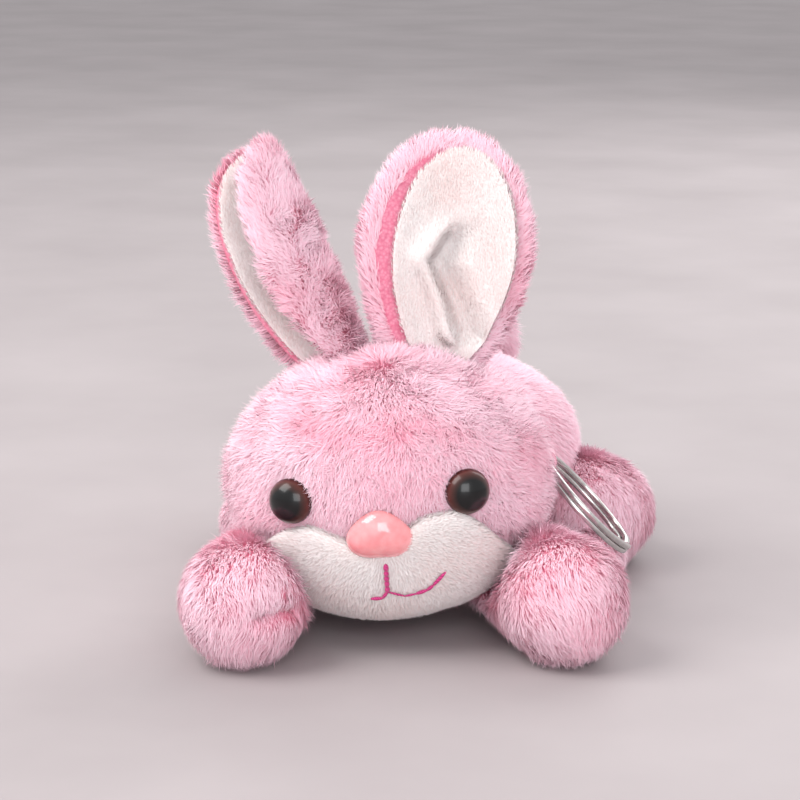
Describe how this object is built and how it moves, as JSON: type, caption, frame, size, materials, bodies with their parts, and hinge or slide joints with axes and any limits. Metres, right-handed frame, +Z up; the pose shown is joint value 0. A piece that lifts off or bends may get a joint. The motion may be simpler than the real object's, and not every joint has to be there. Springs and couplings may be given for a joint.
{
  "type": "plush rabbit keychain",
  "caption": "Small stuffed rabbit lying on its belly, with a steel split ring on a ribbon loop for keys or a bag.",
  "frame": {"origin": "on the ground at the middle of the flat belly, under the middle of the body", "axes": "+Z up, -Y is where the body points, +X is the rabbit's own left, the side that the split ring hangs on"},
  "size_m": [0.1041, 0.1253, 0.0944],
  "materials": {
    "pink_plush": "soft pink plush with a tousled pile of about 3 mm",
    "white_short_plush": "white velboa with a very short pile",
    "polyester_stuffing": "loose white polyester fibre, hidden inside",
    "magenta_thread": "twisted embroidery thread with a soft shine",
    "pink_thread": "sewing thread",
    "pink_ribbon": "woven satin ribbon",
    "black_eye_plastic": "glossy black moulded plastic",
    "brown_eye_plastic": "clear dark brown moulded plastic, polished",
    "pink_nose_plastic": "translucent salmon pink moulded plastic, polished",
    "washer_plastic": "natural white moulded plastic, hidden inside",
    "polished_steel": "nickel-plated spring steel wire"
  },
  "bodies": {
    "torso": {"torso_cover": "pink_plush", "torso_stuffing": "polyester_stuffing"},
    "head": {"head_cover": "pink_plush", "head_stuffing": "polyester_stuffing", "muzzle_patch": "white_short_plush", "mouth_stitching": "magenta_thread", "eye_left": "black_eye_plastic", "eye_right": "black_eye_plastic", "eye_left_dome": "brown_eye_plastic", "eye_right_dome": "brown_eye_plastic", "eye_washers": "washer_plastic", "nose": "pink_nose_plastic", "nose_washer": "washer_plastic", "loop_anchor": "pink_ribbon", "loop_bar_tack": "pink_thread"},
    "ear_left": {"ear_left_back": "pink_plush", "ear_left_lining": "white_short_plush"},
    "ear_right": {"ear_right_back": "pink_plush", "ear_right_lining": "white_short_plush"},
    "arm_left": {"arm_left_cover": "pink_plush", "arm_left_stuffing": "polyester_stuffing"},
    "arm_right": {"arm_right_cover": "pink_plush", "arm_right_stuffing": "polyester_stuffing"},
    "leg_left": {"leg_left_cover": "pink_plush", "leg_left_stuffing": "polyester_stuffing"},
    "leg_right": {"leg_right_cover": "pink_plush", "leg_right_stuffing": "polyester_stuffing"},
    "tail": {"tail_cover": "pink_plush", "tail_stuffing": "polyester_stuffing"},
    "ribbon_loop": {"ribbon_loop": "pink_ribbon"},
    "split_ring": {"split_ring": "polished_steel"}
  },
  "joints": [
    {"name": "head_turn", "type": "hinge", "parent": "torso", "child": "head", "pos_m": [0.00989, -0.04538, 0.0285], "axis": [0, 0, 1], "range_deg": [-4, 4], "stiffness_Nm_per_rad": 0.02},
    {"name": "ear_left_bend", "type": "hinge", "parent": "head", "child": "ear_left", "pos_m": [-0.00042, -0.04095, 0.05283], "axis": [0.6249, -0.7193, 0.3035], "range_deg": [-20, 20], "stiffness_Nm_per_rad": 0.004},
    {"name": "ear_right_bend", "type": "hinge", "parent": "head", "child": "ear_right", "pos_m": [0.0154, -0.03686, 0.05368], "axis": [0.9362, 0.3361, -0.103], "range_deg": [-20, 20], "stiffness_Nm_per_rad": 0.004},
    {"name": "arm_left_swing", "type": "hinge", "parent": "torso", "child": "arm_left", "pos_m": [-0.01072, -0.04544, 0.0114], "axis": [0, 0, -1], "range_deg": [0, 12], "stiffness_Nm_per_rad": 0.006},
    {"name": "arm_right_swing", "type": "hinge", "parent": "torso", "child": "arm_right", "pos_m": [0.02426, -0.03059, 0.0114], "axis": [0, 0, 1], "range_deg": [0, 12], "stiffness_Nm_per_rad": 0.006},
    {"name": "leg_left_swing", "type": "hinge", "parent": "torso", "child": "leg_left", "pos_m": [-0.0295, 0.009, 0.0109], "axis": [0, 0, -1], "range_deg": [0, 10], "stiffness_Nm_per_rad": 0.006},
    {"name": "leg_right_swing", "type": "hinge", "parent": "torso", "child": "leg_right", "pos_m": [0.0295, 0.009, 0.0109], "axis": [0, 0, 1], "range_deg": [0, 10], "stiffness_Nm_per_rad": 0.006},
    {"name": "tail_wag", "type": "hinge", "parent": "torso", "child": "tail", "pos_m": [0, 0.0235, 0.0365], "axis": [0, 1, 0], "range_deg": [-12, 12], "stiffness_Nm_per_rad": 0.001},
    {"name": "ribbon_loop_lift", "type": "hinge", "parent": "head", "child": "ribbon_loop", "pos_m": [0.02878, -0.02303, 0.02943], "axis": [0.4067, -0.9135, 0], "range_deg": [0, 35]},
    {"name": "ring_swing", "type": "hinge", "parent": "ribbon_loop", "child": "split_ring", "pos_m": [0.03202, -0.02159, 0.0288], "axis": [0.4067, -0.9135, 0], "range_deg": [0, 60]}
  ]
}
